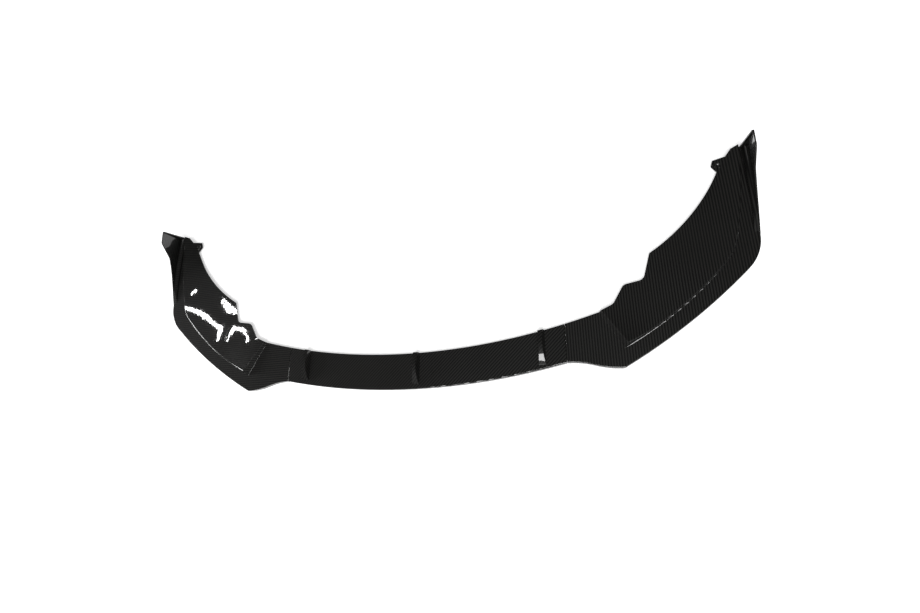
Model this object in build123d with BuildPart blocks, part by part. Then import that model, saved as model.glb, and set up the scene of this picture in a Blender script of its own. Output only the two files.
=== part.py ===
from build123d import *
import os
from math import cos, radians, sin, sqrt, tan

# Front splitter lip: a thin formed sheet in three sections, lying as it rests on the ground.
# X runs across the car, Y towards its rear, Z up. The origin is under the middle of the part.
# Plan points are measured from the front edge at the centreline, heights from the ground.

# Overall sizes, in millimetres
half_width = 917.0
depth = 592.0
sheet = 3.5
blade_height = 14.0
nose_radius = 3.0

# Centre blade and its seams
front_radius = 1920.0
blade_depth = 101.0
side_width = 504.0
seam_gap = 0.6
seam_radius = 1.5

# Strakes on the centre blade: the outer ones stand in from the seams
strake_inset = 63.0
strake_width = 22.0
strake_height = 20.0
strake_peak_share = 0.55
strake_rear_height = 11.0
strake_front_height = 2.0
strake_setback = 11.0
strake_draft = 15.0

# Outer edge of a side section: insets are measured in from half_width
front_corner_inset = 365.0
front_corner_y = 23.0
front_corner_radius = 14.0
outer_edge_bulge = 15.6
outer_corner_inset = 15.0
outer_corner_radius = 125.0
wing_length = 309.0

# Stepped plateau: the foot of its wall on the blade, and its heights
riser_foot_inset = 361.0
riser_foot_y = 73.0
riser_rear_inset = 414.0
riser_draft = 35.0
side_blade_width = 60.0
step_corner_back = 14.0
channel_width = 18.0
step_draft = 12.0
step_bulge = 17.5
side_step_bulge = 9.0
step_corner_radius = 120.0
crest_inner_height = 50.0
crest_dip_run = 90.0
crest_middle_height = 20.0
crest_corner_height = 21.0
crest_rear_height = 33.0
plateau_inner_height = 24.0
plateau_shoulder_height = 18.0
plateau_rear_height = 16.0
crest_radius = 2.5
foot_radius = 2.0

# Notched rear edge, measured from the point where the riser meets it
knee_across = 37.0
knee_back = 17.0
shoulder_across = 67.0
shoulder_back = 67.0
inner_notch_across = 118.0
inner_notch_back = 76.0
upper_notch_across = 140.0
upper_notch_back = 147.0
notch_radius = 20.0
upper_notch_radius = 9.0
rear_edge_hollow = 20.0

# Rear ear with its screw hole: its corners are measured from the hole
ear_inset_x = 75.0
ear_inset_y = 43.0
ear_pad_radius = 11.0
ear_pad_height = 7.0
ear_pad_rise = 2.5
ear_hole_diameter = 6.0
ear_throat_across = 6.0
ear_throat_ahead = 21.0
ear_nose_across = 17.0
ear_nose_ahead = 2.0
ear_tip_across = 11.0
ear_tip_back = 16.0
ear_heel_across = 19.0
ear_heel_back = 17.0
ear_corner_radius = 5.0
rear_corner_inset = 41.0
rear_corner_ahead = 8.0

# Winglet: lengths are measured forward from the rear end
winglet_length = 262.0
winglet_height = 105.0
winglet_rake = 15.5
winglet_lean = 2.0
winglet_tip_width = 9.0
winglet_brow_length = 58.0
winglet_brow_height = 102.0
winglet_brow_radius = 14.0
winglet_shoulder_length = 95.0
winglet_shoulder_height = 60.0
winglet_start_angle = 14.0
winglet_shoulder_angle = 27.0
channel_floor = 4.0

# Lap joint under each seam
lap = 30.0
lap_margin = 3.0
tape_thickness = 0.8

front_y = -depth / 2
seam_x = half_width - side_width
strake_x = seam_x - strake_inset
rear_radius = front_radius - blade_depth
under_blade = blade_height - sheet
tongue_top = under_blade - tape_thickness
cove_radius = channel_width - sheet - channel_floor
ear_pad_top = plateau_rear_height + ear_pad_rise

# How far construction faces run past the part they cut
reach = 80.0


def level(z):
    """Horizontal plane at height z, with the front edge's middle as its origin."""
    return Plane(origin=(0, front_y, z))


def lengthways(x):
    """Upright plane along the car at x, with Y to the right and Z up."""
    return Plane(origin=(x, front_y, 0), x_dir=(0, 1, 0), z_dir=(1, 0, 0))


def sweep_back(radius, x):
    """How far back an arc that is level at the centreline has swept at x."""
    return radius - sqrt(radius**2 - x**2)


def front_at(x):
    return sweep_back(front_radius, x)


def rear_at(x):
    return blade_depth + sweep_back(rear_radius, x)


def heading(angle):
    """Unit direction at an angle above the horizontal."""
    return (cos(radians(angle)), sin(radians(angle)))


def corner_near(shape, point):
    return shape.vertices().sort_by_distance(point)[0]


# Plan points of the right side section
side_x = seam_x + seam_gap / 2
seam_front = (side_x, front_at(side_x))
seam_rear = (side_x, rear_at(side_x))
front_corner = (half_width - front_corner_inset, front_corner_y)
flare_middle = ((seam_front[0] + front_corner[0]) / 2, (seam_front[1] + front_corner[1]) / 2)
outer_corner = (half_width - outer_corner_inset, depth - wing_length)
rear_outer = (half_width, depth)
rear_inner = (half_width - rear_corner_inset, depth - rear_corner_ahead)
ear = (half_width - ear_inset_x, depth - ear_inset_y)
ear_throat = (ear[0] - ear_throat_across, ear[1] - ear_throat_ahead)
ear_nose = (ear[0] - ear_nose_across, ear[1] - ear_nose_ahead)
ear_tip = (ear[0] - ear_tip_across, ear[1] + ear_tip_back)
ear_heel = (ear[0] + ear_heel_across, ear[1] + ear_heel_back)
riser_foot = (half_width - riser_foot_inset, riser_foot_y)
riser_rear_x = half_width - riser_rear_inset
riser_rear = (riser_rear_x, rear_at(riser_rear_x))
riser = (Vector(*riser_foot) - Vector(*riser_rear)).normalized()
knee = (riser_rear[0] + knee_across, riser_rear[1] + knee_back)
shoulder = (riser_rear[0] + shoulder_across, riser_rear[1] + shoulder_back)
inner_notch = (riser_rear[0] + inner_notch_across, riser_rear[1] + inner_notch_back)
upper_notch = (riser_rear[0] + upper_notch_across, riser_rear[1] + upper_notch_back)
step_corner = (outer_corner[0] - side_blade_width, outer_corner[1] + step_corner_back)
step_end = (half_width - channel_width, depth)
step_middle = ((riser_foot[0] + step_corner[0]) / 2, (riser_foot[1] + step_corner[1]) / 2)
step_run = (Vector(*step_corner) - Vector(*riser_foot)).normalized()
crest_dip = Vector(*riser_foot) + step_run * crest_dip_run
hollow_middle = ((upper_notch[0] + ear[0]) / 2, (upper_notch[1] + ear[1]) / 2)


def lies_on(wire, edge):
    """Whether an edge's middle is on a wire."""
    return wire.distance_to(edge @ 0.5) < seam_gap


def leans(face, angle):
    """Whether a face leans back from upright by an angle."""
    return abs(face.normal_at(face.center()).Z - sin(radians(angle))) < 0.01


def front_chain():
    """Front and outer edge of the right side section, from the seam to the rear end."""
    with BuildLine() as chain:
        bend = TangentArc(seam_front, flare_middle, tangent=(1, 0))
        TangentArc(flare_middle, front_corner, tangent=bend % 1)
        SagittaArc(front_corner, outer_corner, -outer_edge_bulge)
        TangentArc(rear_outer, outer_corner, tangent=(0, -1))
        fillet(corner_near(chain, front_corner), front_corner_radius)
        fillet(corner_near(chain, outer_corner), outer_corner_radius)
    return chain.line


def side_outline():
    """Plan outline of the right side section, with its corners rounded."""
    with BuildSketch() as outline:
        with BuildLine():
            add(front_chain())
            Polyline(rear_outer, step_end, rear_inner, ear_heel, ear_tip, ear_nose, ear_throat)
            SagittaArc(ear_throat, upper_notch, rear_edge_hollow)
            Polyline(upper_notch, inner_notch, shoulder, knee, riser_rear)
            RadiusArc(riser_rear, seam_rear, rear_radius)
            Line(seam_rear, seam_front)
        make_face()
        for point in (knee, shoulder, inner_notch):
            fillet(corner_near(outline, point), notch_radius)
        fillet(corner_near(outline, upper_notch), upper_notch_radius)
        for point in (ear_nose, ear_throat):
            fillet(corner_near(outline, point), ear_corner_radius)
    return outline.sketch


def edge_band():
    """The front chain one sheet thick, seen from above."""
    with BuildSketch() as band:
        with BuildLine():
            add(front_chain())
            offset(amount=sheet, side=Side.LEFT)
        make_face()
    return band.sketch


def behind_wall(growth):
    """Region behind the foot of the plateau's front and outer wall, grown outwards by growth."""
    far_rear = depth + reach
    with BuildSketch() as region:
        with BuildLine():
            wall = SagittaArc(riser_foot, step_corner, -step_bulge)
            SagittaArc(step_corner, step_end, -side_step_bulge)
            inner = wall @ 0 - (wall % 0) * 2 * reach
            Polyline(step_end, (step_end[0], far_rear), (inner.X, far_rear), inner, riser_foot)
        make_face()
        fillet(corner_near(region, step_corner), step_corner_radius)
        offset(amount=growth, kind=Kind.INTERSECTION, mode=Mode.REPLACE)
    return region.sketch


def beside_riser(growth):
    """Region outside the foot of the plateau's inner wall, the riser, grown inwards by growth."""
    outward = Vector(0, 0, 1).cross(riser) * half_width
    front = Vector(*riser_foot) + riser * depth
    rear = Vector(*riser_rear) - riser * depth
    with BuildSketch() as region:
        with BuildLine():
            Polyline(front, rear, rear + outward, front + outward, close=True)
        make_face()
        offset(amount=growth, kind=Kind.INTERSECTION, mode=Mode.REPLACE)
    return region.sketch


def step_block(layers, bottom):
    """Block with the plateau's drafted walls, its sides moved in by so many layers of the sheet."""
    sides = ((behind_wall, step_draft, Mode.ADD), (beside_riser, riser_draft, Mode.INTERSECT))
    with BuildPart() as block:
        for region, angle, mode in sides:
            growth = (blade_height - bottom) * tan(radians(angle)) - layers * sheet / cos(radians(angle))
            with BuildSketch(level(bottom)):
                add(region(growth))
            extrude(amount=winglet_height - bottom, taper=angle, mode=mode)
    return block.part


def under_plateau(drop):
    """Everything below the plateau's top face, lowered by drop."""
    aside = riser.cross(Vector(0, 0, 1)) * (reach / 2)
    behind = Vector(0, depth - ear[1] + reach / 2)
    rear_points = []
    front_points = []
    stations = (
        (riser_rear, riser_foot, plateau_inner_height, crest_inner_height, aside),
        (shoulder, crest_dip, plateau_shoulder_height, crest_middle_height, Vector(0, 0)),
        (upper_notch, step_middle, plateau_rear_height, crest_middle_height, Vector(0, 0)),
        (hollow_middle, step_corner, plateau_rear_height, crest_corner_height, Vector(0, 0)),
        (ear, step_end, plateau_rear_height, crest_rear_height, Vector(0, 0)),
        (ear, step_end, plateau_rear_height, crest_rear_height, behind),
    )
    for rear, front, rear_height, front_height, shift in stations:
        run = Vector(*front) - Vector(*rear)
        outward = run.normalized() * reach
        rise = (front_height - rear_height) / run.length * reach
        low = Vector(*rear) - outward + shift
        high = Vector(*front) + outward + shift
        rear_points.append(Vector(low.X, front_y + low.Y, rear_height - rise - drop))
        front_points.append(Vector(high.X, front_y + high.Y, front_height + rise - drop))
    path_so_far = [0.0]
    for k in range(1, len(stations)):
        rear_step = (rear_points[k] - rear_points[k - 1]).length
        front_step = (front_points[k] - front_points[k - 1]).length
        path_so_far.append(path_so_far[-1] + rear_step + front_step)
    shares = [length / path_so_far[-1] for length in path_so_far]
    rear_line = Edge.make_spline(rear_points, parameters=shares)
    front_line = Edge.make_spline(front_points, parameters=shares)
    top = Face.make_surface_from_curves(rear_line, front_line)
    with BuildPart() as below:
        extrude(top, amount=winglet_height, dir=(0, 0, -1))
    return below.part


def plateau():
    """Stepped plateau of the right side section as one formed sheet."""
    with BuildPart() as shell:
        add(step_block(0, under_blade))
        add(under_plateau(0), mode=Mode.INTERSECT)
        with BuildPart(mode=Mode.SUBTRACT):
            add(step_block(1, -sheet))
            add(under_plateau(sheet), mode=Mode.INTERSECT)
        with BuildSketch(level(0)):
            add(side_outline())
        extrude(amount=winglet_height, mode=Mode.INTERSECT)
        top = shell.faces().sort_by(SortBy.AREA)[-2:].sort_by(Axis.Z)[-1]
        walls = shell.faces().filter_by(lambda f: leans(f, step_draft) or leans(f, riser_draft))
        fillet(top.edges() & walls.edges(), crest_radius)
    return shell.part


def winglet_profile():
    """Everything below the winglet's top edge, seen from the side."""
    start = (depth - winglet_length, under_blade)
    shoulder_point = (depth - winglet_shoulder_length, winglet_shoulder_height)
    brow = (depth - winglet_brow_length, winglet_brow_height)
    top = (depth - winglet_rake, winglet_height)
    with BuildSketch(lengthways(half_width)) as below:
        with BuildLine():
            Spline(start, shoulder_point, tangents=(heading(winglet_start_angle), heading(winglet_shoulder_angle)))
            Polyline(shoulder_point, brow, top, (depth, blade_height), (depth, 0), (start[0], 0), start)
        make_face()
        fillet(corner_near(below, brow), winglet_brow_radius)
    return below.sketch


def winglet():
    """Upright winglet at the rear end of the right outer edge, coved into the blade.

    Its raked rear edge is turned in as a flange that narrows towards the tip.
    """
    inner_x = half_width - sheet
    rise = winglet_height - blade_height
    lean = tan(radians(winglet_lean))
    raked = Plane(
        origin=(0, depth / 2, blade_height),
        x_dir=(1, 0, 0),
        z_dir=(0, -rise, -winglet_rake),
    )
    edge_length = sqrt(rise**2 + winglet_rake**2)
    with BuildPart() as fin:
        with BuildSketch(level(under_blade)):
            add(edge_band())
        extrude(amount=winglet_height, dir=(-lean, 0, 1))
        with BuildLine(level(0)) as path:
            TangentArc(rear_outer, outer_corner, tangent=(0, -1))
        with BuildSketch(Plane(origin=(0, depth / 2, 0), x_dir=(1, 0, 0), z_dir=(0, -1, 0))) as cove:
            with BuildLine():
                corner = (inner_x + sheet / 2, blade_height - sheet / 2)
                foot = (inner_x - cove_radius, blade_height)
                side = (inner_x, blade_height + cove_radius)
                RadiusArc(foot, side, cove_radius)
                Polyline(side, (corner[0], side[1]), corner, (foot[0], corner[1]), foot)
            make_face()
        sweep(cove.sketch, path=path.line)
        with BuildSketch(raked) as flange:
            with BuildLine():
                Polyline(
                    (step_end[0], -sheet / 2),
                    (inner_x + sheet / 2, -sheet / 2),
                    (inner_x + sheet / 2 - rise * lean, edge_length),
                    (half_width - winglet_tip_width, edge_length),
                    (step_end[0], 0),
                    close=True,
                )
            make_face()
        extrude(flange.sketch, amount=sheet)
        extrude(winglet_profile(), amount=reach, dir=(-1, 0, 0), mode=Mode.INTERSECT)
    return fin.part


def lap_plan(inner, outer):
    """Plan of a lap under the seam, kept clear of the turned-down edge and the rear edge."""
    ahead = front_radius - sheet - lap_margin
    behind = rear_radius + lap_margin
    front_start = front_radius - ahead
    rear_start = front_radius - behind
    with BuildSketch() as plan:
        with BuildLine():
            corners = (
                (inner, front_start + sweep_back(ahead, inner)),
                (outer, front_start + sweep_back(ahead, outer)),
                (outer, rear_start + sweep_back(behind, outer)),
                (inner, rear_start + sweep_back(behind, inner)),
            )
            Polyline(*corners, close=True)
        make_face()
    return plan.sketch


def blade_plan(ahead, behind, half):
    """Plan of the centre blade between two arcs about one centre."""
    front_start = front_radius - ahead
    rear_start = front_radius - behind
    front_end = front_start + sweep_back(ahead, half)
    rear_end = rear_start + sweep_back(behind, half)
    with BuildSketch() as plan:
        with BuildLine():
            ThreePointArc((-half, front_end), (0, front_start), (half, front_end))
            Line((half, front_end), (half, rear_end))
            ThreePointArc((half, rear_end), (0, rear_start), (-half, rear_end))
            Line((-half, rear_end), (-half, front_end))
        make_face()
    return plan.sketch


def strake(inset, x):
    """One strake over the blade at x, with its drafted sides moved in by inset."""
    nose_y = front_at(x) + strake_setback + inset
    tail_y = rear_at(x) + reach
    peak_y = nose_y + (rear_at(x) - nose_y) * strake_peak_share
    half = strake_width / 2 - inset
    bottom = under_blade - inset
    with BuildPart() as fin:
        with BuildSketch(level(bottom)):
            with BuildLine():
                Polyline((x - half, nose_y), (x + half, nose_y), (x + half, tail_y), (x - half, tail_y), close=True)
            make_face()
        extrude(amount=strake_height + sheet + inset, taper=strake_draft)
        with BuildSketch(lengthways(x)) as side:
            with BuildLine():
                rise = ThreePointArc(
                    (nose_y, blade_height + strake_front_height - inset),
                    (peak_y, blade_height + strake_height - inset),
                    (rear_at(x), blade_height + strake_rear_height - inset),
                )
                Polyline(rise @ 1, (tail_y, (rise @ 1).Y), (tail_y, bottom), (nose_y, bottom), rise @ 0)
            make_face()
        extrude(side.sketch, amount=strake_width, both=True, mode=Mode.INTERSECT)
    return fin.part


os.makedirs("parts", exist_ok=True)

# Centre blade with its turned-down front edge and its hollow strakes
centre_half = seam_x - seam_gap / 2
with BuildPart() as centre_section:
    with BuildSketch(level(under_blade)):
        add(blade_plan(front_radius, rear_radius, centre_half))
    extrude(amount=sheet)
    with BuildSketch(level(0)):
        add(blade_plan(front_radius, front_radius - sheet, centre_half))
    extrude(amount=blade_height)
    top_arcs = centre_section.edges().filter_by(GeomType.CIRCLE).group_by(Axis.Z)[-1]
    fillet(top_arcs.sort_by(Axis.Y)[0], nose_radius)
    fillet(centre_section.edges().filter_by(Axis.Y).group_by(Axis.Z)[-1], seam_radius)
    for x in (-strake_x, 0, strake_x):
        add(strake(0, x))
    for x in (-strake_x, 0, strake_x):
        add(strake(sheet, x), mode=Mode.SUBTRACT)
    with BuildSketch(level(0)):
        add(blade_plan(front_radius, rear_radius, centre_half))
    extrude(amount=winglet_height, mode=Mode.INTERSECT)
centre_section.part.label = "centre_section"
export_step(centre_section.part, "parts/centre_section.step")

# Right side section: blade with a turned-down edge, winglet, plateau, ear and tongue
blade_top = Location((0, front_y, blade_height))
edge = front_chain().moved(blade_top)
with BuildSketch(level(blade_height)) as raised:
    add(behind_wall(0))
    add(beside_riser(0), mode=Mode.INTERSECT)
foot = raised.sketch.face().outer_wire()
with BuildPart() as right_side_section:
    with BuildSketch(level(under_blade)):
        add(side_outline())
    extrude(amount=sheet)
    with BuildSketch(level(0)):
        add(edge_band())
    extrude(amount=blade_height)
    fillet(right_side_section.edges().filter_by(lambda e: lies_on(edge, e)), nose_radius)
    fillet(right_side_section.edges().filter_by(Axis.Y).group_by(Axis.Z)[-1], seam_radius)
    add(step_block(1 / 2, -sheet), mode=Mode.SUBTRACT)
    add(plateau())
    fillet(right_side_section.edges().filter_by(lambda e: lies_on(foot, e)), foot_radius)
    add(winglet())
    with BuildSketch(level(ear_pad_top)):
        with Locations(ear):
            Circle(ear_pad_radius)
    extrude(amount=-ear_pad_height)
    with BuildSketch(level(0)):
        with Locations(ear):
            Circle(ear_hole_diameter / 2)
    extrude(amount=winglet_height, mode=Mode.SUBTRACT)
    with BuildSketch(level(tongue_top - sheet)):
        add(lap_plan(seam_x - lap, side_x + lap / 2))
    extrude(amount=sheet)
    with BuildSketch(level(tongue_top)):
        add(lap_plan(side_x, side_x + lap / 2))
    extrude(amount=tape_thickness)
right_side_section.part.label = "right_side_section"
export_step(right_side_section.part, "parts/right_side_section.step")

with BuildPart() as left_side_section:
    mirror(right_side_section.part, about=Plane.YZ)
left_side_section.part.label = "left_side_section"
export_step(left_side_section.part, "parts/left_side_section.step")

# Bonding tape between each tongue and the centre blade
with BuildPart() as right_joint_tape:
    with BuildSketch(level(tongue_top)):
        add(lap_plan(seam_x - lap, centre_half))
    extrude(amount=tape_thickness)
right_joint_tape.part.label = "right_joint_tape"
export_step(right_joint_tape.part, "parts/right_joint_tape.step")

with BuildPart() as left_joint_tape:
    mirror(right_joint_tape.part, about=Plane.YZ)
left_joint_tape.part.label = "left_joint_tape"
export_step(left_joint_tape.part, "parts/left_joint_tape.step")
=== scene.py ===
"""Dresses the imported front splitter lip: woven gloss sheet, studio light and the photograph's view."""
from math import cos, radians, sin

import bpy
from mathutils import Matrix, Vector

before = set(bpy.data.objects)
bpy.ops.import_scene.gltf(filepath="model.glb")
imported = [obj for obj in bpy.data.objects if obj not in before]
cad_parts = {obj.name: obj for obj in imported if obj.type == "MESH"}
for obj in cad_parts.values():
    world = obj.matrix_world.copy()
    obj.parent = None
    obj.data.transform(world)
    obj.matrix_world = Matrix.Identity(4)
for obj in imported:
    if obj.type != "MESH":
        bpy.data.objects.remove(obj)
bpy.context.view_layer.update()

# Image the camera is laid out for
IMAGE_WIDTH = 920
FOCAL_PIXELS = 500.0
SENSOR_MM = 36.0

# Woven sheet
TOW_WIDTH = 0.0024
WEAVE_REPEAT = 4.0
WEAVE_OVER = 2.0
TOW_RELIEF = 0.0002
DARK_TOW = (0.0020, 0.0020, 0.0019, 1.0)
LIGHT_TOW = (0.0160, 0.0158, 0.0148, 1.0)
WEAVE_TURN = {"centre_section": 0.0, "right_side_section": -45.0, "left_side_section": 45.0}
HALF_TURN = 3.14159


class Graph:
    """A small helper for building node trees."""

    def __init__(self, tree):
        self.tree = tree

    def add(self, kind, **values):
        node = self.tree.nodes.new(kind)
        for key, value in values.items():
            setattr(node, key, value)
        return node

    def wire(self, source, target):
        self.tree.links.new(source, target)

    def feed(self, node, index, value):
        if hasattr(value, "links"):
            self.wire(value, node.inputs[index])
        else:
            node.inputs[index].default_value = value

    def math(self, operation, first, second=0.0):
        node = self.add("ShaderNodeMath", operation=operation)
        self.feed(node, 0, first)
        self.feed(node, 1, second)
        return node.outputs[0]

    def mix(self, factor, first, second):
        node = self.add("ShaderNodeMix", data_type="FLOAT")
        self.feed(node, 0, factor)
        self.feed(node, 2, first)
        self.feed(node, 3, second)
        return node.outputs[0]

    def colour(self, factor, first, second):
        node = self.add("ShaderNodeMix", data_type="RGBA")
        self.feed(node, 0, factor)
        self.feed(node, 6, first)
        self.feed(node, 7, second)
        return node.outputs[2]

    def noise(self, scale, detail=2.0):
        node = self.add("ShaderNodeTexNoise")
        node.inputs["Scale"].default_value = scale
        node.inputs["Detail"].default_value = detail
        self.wire(self.add("ShaderNodeTexCoord").outputs["Object"], node.inputs["Vector"])
        return node.outputs["Fac"]


def new_material(name):
    material = bpy.data.materials.new(name)
    material.use_nodes = True
    material.node_tree.nodes.clear()
    graph = Graph(material.node_tree)
    output = graph.add("ShaderNodeOutputMaterial")
    return material, graph, output


def weave_coordinates(graph, turn):
    """Two lengths across the surface, taken from the sides the surface faces least, then turned."""
    place = graph.add("ShaderNodeSeparateXYZ")
    graph.wire(graph.add("ShaderNodeTexCoord").outputs["Object"], place.inputs[0])
    facing = graph.add("ShaderNodeSeparateXYZ")
    graph.wire(graph.add("ShaderNodeNewGeometry").outputs["True Normal"], facing.inputs[0])
    across_x = graph.math("ABSOLUTE", facing.outputs[0])
    across_y = graph.math("ABSOLUTE", facing.outputs[1])
    upright = graph.math("LESS_THAN", graph.math("ABSOLUTE", facing.outputs[2]), 0.5)
    sideways = graph.math("GREATER_THAN", across_x, across_y)
    facing_side = graph.math("MULTIPLY", upright, sideways)
    first = graph.mix(facing_side, place.outputs[0], place.outputs[1])
    second = graph.mix(upright, place.outputs[1], place.outputs[2])
    along = cos(radians(turn))
    aside = sin(radians(turn))
    first_along = graph.math("MULTIPLY", first, along)
    first_aside = graph.math("MULTIPLY", first, aside)
    second_along = graph.math("MULTIPLY", second, along)
    second_aside = graph.math("MULTIPLY", second, aside)
    turned_first = graph.math("SUBTRACT", first_along, second_aside)
    turned_second = graph.math("ADD", first_aside, second_along)
    return turned_first, turned_second


def woven_material(name, turn):
    """Near-black twill weave under a smooth clear coat."""
    material, graph, output = new_material(name)
    first, second = weave_coordinates(graph, turn)
    step_first = graph.math("DIVIDE", first, TOW_WIDTH)
    step_second = graph.math("DIVIDE", second, TOW_WIDTH)
    cell = graph.math("SUBTRACT", graph.math("FLOOR", step_first), graph.math("FLOOR", step_second))
    over = graph.math("LESS_THAN", graph.math("FLOORED_MODULO", cell, WEAVE_REPEAT), WEAVE_OVER)
    across = graph.mix(over, graph.math("FRACT", step_second), graph.math("FRACT", step_first))
    dome = graph.math("SINE", graph.math("MULTIPLY", across, HALF_TURN))
    bump = graph.add("ShaderNodeBump")
    bump.inputs["Strength"].default_value = 0.3
    bump.inputs["Distance"].default_value = TOW_RELIEF
    graph.wire(dome, bump.inputs["Height"])
    ripple = graph.add("ShaderNodeBump")
    ripple.inputs["Strength"].default_value = 0.05
    ripple.inputs["Distance"].default_value = 0.002
    graph.wire(graph.noise(28.0), ripple.inputs["Height"])
    shader = graph.add("ShaderNodeBsdfPrincipled")
    graph.wire(graph.colour(over, DARK_TOW, LIGHT_TOW), shader.inputs["Base Color"])
    graph.wire(graph.mix(graph.noise(9.0), 0.38, 0.52), shader.inputs["Roughness"])
    graph.wire(bump.outputs["Normal"], shader.inputs["Normal"])
    graph.wire(ripple.outputs["Normal"], shader.inputs["Coat Normal"])
    shader.inputs["Specular IOR Level"].default_value = 0.15
    shader.inputs["Coat Weight"].default_value = 1.0
    shader.inputs["Coat Roughness"].default_value = 0.025
    shader.inputs["Coat IOR"].default_value = 1.5
    graph.wire(shader.outputs[0], output.inputs["Surface"])
    return material


def tape_material():
    """Matt black foam tape."""
    material, graph, output = new_material("foam_tape")
    shader = graph.add("ShaderNodeBsdfPrincipled")
    tone = graph.colour(graph.noise(900.0), (0.012, 0.012, 0.012, 1.0), (0.035, 0.035, 0.035, 1.0))
    graph.wire(tone, shader.inputs["Base Color"])
    shader.inputs["Roughness"].default_value = 0.85
    graph.wire(shader.outputs[0], output.inputs["Surface"])
    return material


def floor_material():
    """Floor that looks white, itself and in reflections, and throws little light on the part."""
    material, graph, output = new_material("pale_floor")
    seen = graph.add("ShaderNodeBsdfDiffuse")
    seen.inputs["Color"].default_value = (0.9, 0.9, 0.9, 1.0)
    glow = graph.add("ShaderNodeEmission")
    glow.inputs["Color"].default_value = (1.0, 1.0, 1.0, 1.0)
    glow.inputs["Strength"].default_value = 0.6
    both = graph.add("ShaderNodeAddShader")
    graph.wire(seen.outputs[0], both.inputs[0])
    graph.wire(glow.outputs[0], both.inputs[1])
    bounced = graph.add("ShaderNodeBsdfDiffuse")
    bounced.inputs["Color"].default_value = (0.3, 0.3, 0.3, 1.0)
    path = graph.add("ShaderNodeLightPath").outputs
    shown = graph.math("MAXIMUM", path["Is Camera Ray"], path["Is Glossy Ray"])
    shown = graph.math("MAXIMUM", shown, path["Is Transmission Ray"])
    choose = graph.add("ShaderNodeMixShader")
    graph.wire(shown, choose.inputs[0])
    graph.wire(bounced.outputs[0], choose.inputs[1])
    graph.wire(both.outputs[0], choose.inputs[2])
    graph.wire(choose.outputs[0], output.inputs["Surface"])
    return material


def put_material(node, material):
    """Makes this the only material on the node."""
    node.data.materials.clear()
    node.data.materials.append(material)


tape = tape_material()
for name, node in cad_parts.items():
    if name in WEAVE_TURN:
        put_material(node, woven_material("woven_" + name, WEAVE_TURN[name]))
    else:
        put_material(node, tape)


def stage_plane(name, size, centre):
    half = size / 2
    corners = [(-half, -half, 0), (half, -half, 0), (half, half, 0), (-half, half, 0)]
    mesh = bpy.data.meshes.new(name)
    mesh.from_pydata(corners, [], [(0, 1, 2, 3)])
    plane = bpy.data.objects.new(name, mesh)
    plane.location = centre
    bpy.context.scene.collection.objects.link(plane)
    return plane


floor = stage_plane("floor", 40.0, (0, 0, -0.0005))
floor.data.materials.append(floor_material())


def area_light(name, place, aim, size, power):
    data = bpy.data.lights.new(name, "AREA")
    data.shape = "RECTANGLE"
    data.size, data.size_y = size
    data.energy = power
    lamp = bpy.data.objects.new(name, data)
    lamp.location = place
    direction = Vector(aim) - Vector(place)
    lamp.rotation_mode = "QUATERNION"
    lamp.rotation_quaternion = direction.to_track_quat("-Z", "Y")
    bpy.context.scene.collection.objects.link(lamp)
    return lamp


def strip_light(name, start, end, width, power):
    """Flat strip facing straight down, from start to end."""
    along = Vector(end) - Vector(start)
    middle = (Vector(start) + Vector(end)) / 2
    lamp = area_light(name, middle, middle - Vector((0, 0, 1)), (along.length, width), power)
    lamp.rotation_quaternion = Matrix((
        along.normalized(),
        Vector((0, 0, 1)).cross(along.normalized()),
        Vector((0, 0, 1)),
    )).transposed().to_quaternion()
    return lamp


area_light("key", (0.8, -3.0, 4.0), (0, 0, 0), (2.6, 2.6), 300.0)
# Gives the bright line along the left crest
area_light("side", (-5.0, 0.15, 1.1), (-0.7, 0.0, 0.05), (1.2, 1.4), 80.0)
# Mirrored as the white shapes on the left plateau
strip_light("window_long", (-3.62, 1.30, 3.0), (-3.26, 1.11, 3.0), 0.045, 3.0)
strip_light("window_short", (-3.27, 1.12, 3.0), (-3.20, 0.94, 3.0), 0.04, 1.6)
strip_light("window_bar", (-3.31, 1.43, 3.0), (-3.23, 1.31, 3.0), 0.05, 1.6)

world = bpy.data.worlds.new("studio")
world.use_nodes = True
background = world.node_tree.nodes["Background"]
background.inputs["Color"].default_value = (1.0, 1.0, 1.0, 1.0)
background.inputs["Strength"].default_value = 0.045
bpy.context.scene.world = world

# Camera of the photograph
right = Vector((0.9578, -0.0050, -0.2874))
down = Vector((-0.0976, -0.9461, -0.3089))
ahead = Vector((-0.2703, 0.3240, -0.9066))
camera_data = bpy.data.cameras.new("camera")
camera_data.sensor_width = SENSOR_MM
camera_data.lens = FOCAL_PIXELS / IMAGE_WIDTH * SENSOR_MM
camera = bpy.data.objects.new("camera", camera_data)
camera_axes = Matrix((right, -down, -ahead)).transposed()
camera.matrix_world = Matrix.Translation((0.5099, -0.5276, 1.295)) @ camera_axes.to_4x4()
bpy.context.scene.collection.objects.link(camera)
bpy.context.scene.camera = camera

view = bpy.context.scene.view_settings
view.view_transform = "Standard"
